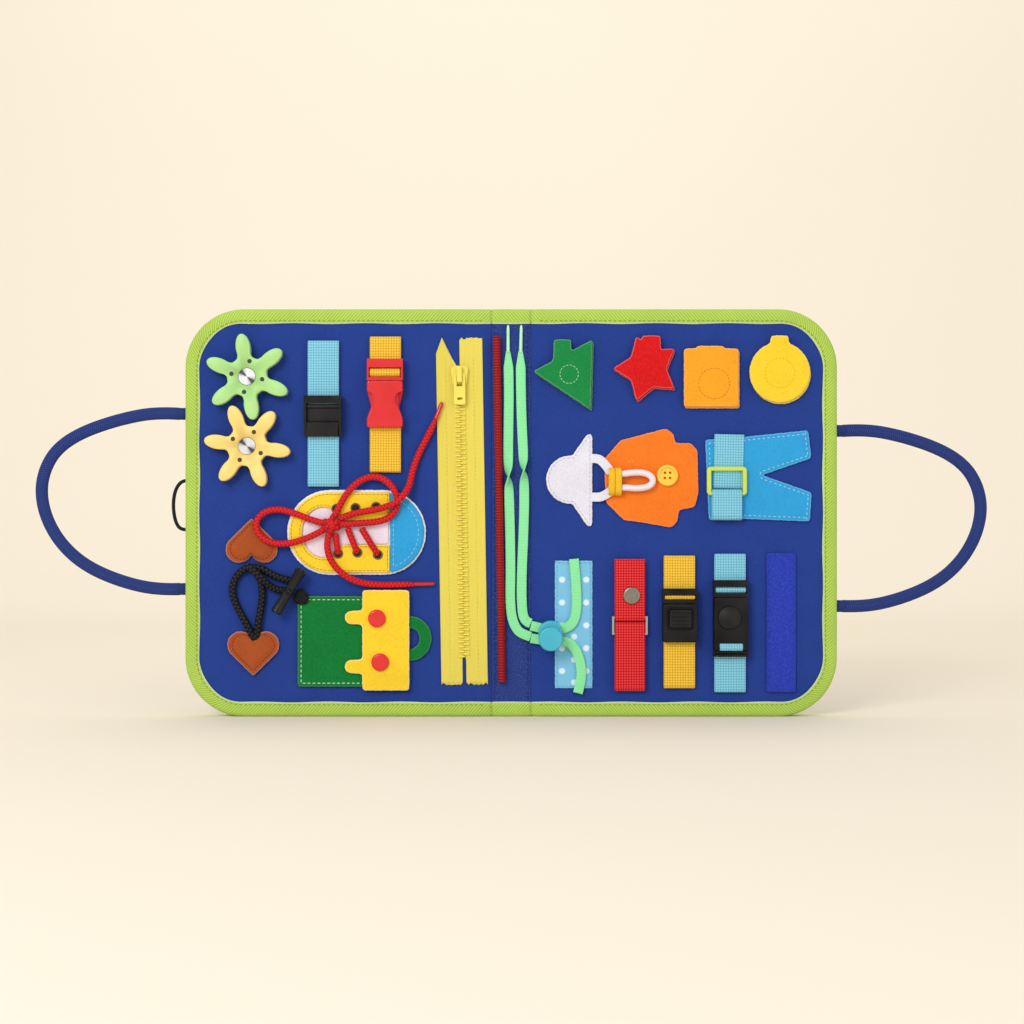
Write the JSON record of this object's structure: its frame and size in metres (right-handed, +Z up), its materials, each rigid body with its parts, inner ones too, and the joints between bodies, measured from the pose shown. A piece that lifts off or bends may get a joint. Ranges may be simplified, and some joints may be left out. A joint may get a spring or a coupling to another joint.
{
  "type": "busy board",
  "caption": "Felt activity board for a small child that folds like a book, with handles, finger gears, buckles, a zipper, laces, snaps, a cord lock and lift-off felt shapes.",
  "frame": {"origin": "middle of the spine's bottom edge, on the surface that the board stands on", "axes": "+X to the right of someone facing the front, +Y from the front to the back, +Z up; stored standing flat open"},
  "size_m": [0.5868, 0.0353, 0.25],
  "materials": {
    "navy_felt": "matte wool felt",
    "core_board": "matte",
    "binding": "woven twill tape",
    "navy_webbing": "woven cord",
    "black_cord": "braided cord",
    "green_plastic": "satin",
    "yellow_plastic": "satin",
    "pivot_plastic": "satin",
    "blue_webbing": "woven webbing",
    "yellow_webbing": "woven webbing",
    "black_plastic": "satin",
    "red_plastic": "gloss",
    "zip_tape": "woven tape",
    "zip_metal": "enamelled",
    "white_felt": "matte felt",
    "yellow_felt": "matte felt",
    "blue_felt": "matte felt",
    "red_cord": "braided cord",
    "brown_felt": "matte felt",
    "black_plastic_gloss": "gloss",
    "green_felt": "matte felt",
    "red_snap": "gloss",
    "mint_cord": "woven lace",
    "red_felt": "matte felt",
    "orange_felt": "matte felt",
    "coat_felt": "matte felt",
    "white_elastic": "elastic cord",
    "lime_plastic": "gloss",
    "dotted_ribbon": "ribbon",
    "dark_nickel": "dark nickel",
    "turquoise_plastic": "gloss",
    "button_yellow": "gloss",
    "shape_green": "matte felt",
    "red_webbing": "woven webbing"
  },
  "bodies": {
    "spine": {"spine_felt": "navy_felt", "spine_binding": "binding", "spine_cord": "red_cord", "mint_laces": "mint_cord"},
    "left_half": {"left_felt": "navy_felt", "left_core": "core_board", "left_binding": "binding", "closure_loop": "black_cord", "gear_pivots": "pivot_plastic", "left_webbing": "blue_webbing", "cam_frame": "black_plastic", "clip_socket": "red_plastic", "zip_tapes": "zip_tape", "shoe_backing": "white_felt", "shoe_upper": "yellow_felt", "shoe_toe_cap": "blue_felt", "shoe_lace": "red_cord", "heart_patches": "brown_felt", "toggle_cords": "black_cord", "bag_pocket": "green_felt"},
    "left_handle": {"left_handle": "navy_webbing"},
    "green_gear": {"green_gear": "green_plastic"},
    "yellow_gear": {"yellow_gear": "yellow_plastic"},
    "cam_lever": {"cam_lever": "black_plastic"},
    "clip_plug": {"clip_plug": "red_plastic"},
    "zip_slider": {"zip_slider": "zip_metal"},
    "zip_pull": {"zip_pull": "zip_metal"},
    "toggle_bar": {"toggle_bar": "black_plastic_gloss"},
    "bag_flap": {"bag_flap": "yellow_felt", "bag_snaps": "red_snap"},
    "right_half": {"right_felt": "navy_felt", "right_core": "core_board", "right_binding": "binding", "sewn_buttons": "button_yellow", "shape_bases": "shape_green", "hat": "white_felt", "coat": "coat_felt", "elastic_loop": "white_elastic", "loop_keeper": "yellow_felt", "trousers": "blue_felt", "right_webbing": "yellow_webbing", "sewn_strips": "dotted_ribbon", "lace_tails": "mint_cord", "snap_ring_and_stud": "dark_nickel", "press_socket": "black_plastic", "round_socket": "black_plastic"},
    "right_handle": {"right_handle": "navy_webbing"},
    "triangle_patch": {"triangle_patch": "shape_green"},
    "star_patch": {"star_patch": "red_felt"},
    "square_patch": {"square_patch": "orange_felt"},
    "circle_patch": {"circle_patch": "yellow_felt"},
    "belt_ring": {"belt_ring": "lime_plastic"},
    "cord_lock_body": {"cord_lock_body": "turquoise_plastic"},
    "cord_lock_button": {"cord_lock_button": "turquoise_plastic"},
    "snap_flap": {"snap_flap": "red_webbing", "snap_cap": "dark_nickel"},
    "press_plug": {"press_plug": "black_plastic"},
    "press_button": {"press_button": "black_plastic"},
    "round_plug": {"round_plug": "black_plastic"},
    "round_button": {"round_button": "black_plastic_gloss"}
  },
  "joints": [
    {"name": "left_fold", "type": "hinge", "parent": "spine", "child": "left_half", "pos_m": [-0.012, -0.0065, 0], "axis": [0, 0, -1], "range_deg": [-90, 0]},
    {"name": "right_fold", "type": "hinge", "parent": "spine", "child": "right_half", "pos_m": [0.012, -0.0065, 0], "axis": [0, 0, 1], "range_deg": [-90, 0]},
    {"name": "left_handle_swing", "type": "hinge", "parent": "left_half", "child": "left_handle", "pos_m": [-0.2042, 0, 0.132], "axis": [0, 0, 1], "range_deg": [-80, 80]},
    {"name": "right_handle_swing", "type": "hinge", "parent": "right_half", "child": "right_handle", "pos_m": [0.2042, 0, 0.1215], "axis": [0, 0, -1], "range_deg": [-80, 80]},
    {"name": "green_gear_spin", "type": "hinge", "parent": "left_half", "child": "green_gear", "pos_m": [-0.161, -0.0055, 0.208], "axis": [0, -1, 0], "continuous": true},
    {"name": "yellow_gear_spin", "type": "hinge", "parent": "left_half", "child": "yellow_gear", "pos_m": [-0.161, -0.0055, 0.1657], "axis": [0, -1, 0], "continuous": true},
    {"name": "cam_lever_flip", "type": "hinge", "parent": "left_half", "child": "cam_lever", "pos_m": [-0.115, -0.0107, 0.19], "axis": [-1, 0, 0], "range_deg": [0, 100]},
    {"name": "clip_plug_slide", "type": "slide", "parent": "left_half", "child": "clip_plug", "axis": [0, 0, 1], "range_m": [0, 0.013]},
    {"name": "zip_slide", "type": "slide", "parent": "left_half", "child": "zip_slider", "axis": [0.0164, 0, -0.9999], "range_m": [0, 0.165]},
    {"name": "zip_pull_flip", "type": "hinge", "parent": "zip_slider", "child": "zip_pull", "pos_m": [-0.03162, -0.0102, 0.20949], "axis": [-0.9999, 0, -0.0164], "range_deg": [0, 160]},
    {"name": "toggle_swivel", "type": "hinge", "parent": "left_half", "child": "toggle_bar", "pos_m": [-0.1354, -0.0143, 0.0773], "axis": [0, -1, 0], "range_deg": [-60, 60]},
    {"name": "bag_flap_open", "type": "hinge", "parent": "left_half", "child": "bag_flap", "pos_m": [-0.0623, -0.0093, 0.047], "axis": [0, 0, 1], "range_deg": [0, 150]},
    {"name": "triangle_lift", "type": "slide", "parent": "right_half", "child": "triangle_patch", "axis": [0, -1, 0], "range_m": [0, 0.02]},
    {"name": "star_lift", "type": "slide", "parent": "right_half", "child": "star_patch", "axis": [0, -1, 0], "range_m": [0, 0.02]},
    {"name": "square_lift", "type": "slide", "parent": "right_half", "child": "square_patch", "axis": [0, -1, 0], "range_m": [0, 0.02]},
    {"name": "circle_lift", "type": "slide", "parent": "right_half", "child": "circle_patch", "axis": [0, -1, 0], "range_m": [0, 0.02]},
    {"name": "belt_ring_swing", "type": "hinge", "parent": "right_half", "child": "belt_ring", "pos_m": [0.1318, -0.0101, 0.1368], "axis": [1, 0, 0], "range_deg": [0, 100]},
    {"name": "cord_lock_slide", "type": "slide", "parent": "right_half", "child": "cord_lock_body", "axis": [1, 0, 0], "range_m": [0, 0.003]},
    {"name": "cord_lock_press", "type": "slide", "parent": "cord_lock_body", "child": "cord_lock_button", "axis": [0, 1, 0], "range_m": [0, 0.0025], "stiffness_N_per_m": 300},
    {"name": "snap_flap_open", "type": "hinge", "parent": "right_half", "child": "snap_flap", "pos_m": [0.0726, -0.0082, 0.061], "axis": [1, 0, 0], "range_deg": [0, 110]},
    {"name": "press_plug_slide", "type": "slide", "parent": "right_half", "child": "press_plug", "axis": [0, 0, 1], "range_m": [0, 0.012]},
    {"name": "press_button_push", "type": "slide", "parent": "right_half", "child": "press_button", "axis": [0, 1, 0], "range_m": [0, 0.002], "stiffness_N_per_m": 300},
    {"name": "round_plug_slide", "type": "slide", "parent": "right_half", "child": "round_plug", "axis": [0, 0, 1], "range_m": [0, 0.012]},
    {"name": "round_button_push", "type": "slide", "parent": "right_half", "child": "round_button", "axis": [0, 1, 0], "range_m": [0, 0.002], "stiffness_N_per_m": 300}
  ],
  "couplings": [
    {"joint": "yellow_gear_spin", "follows": "green_gear_spin", "ratio": -1}
  ]
}
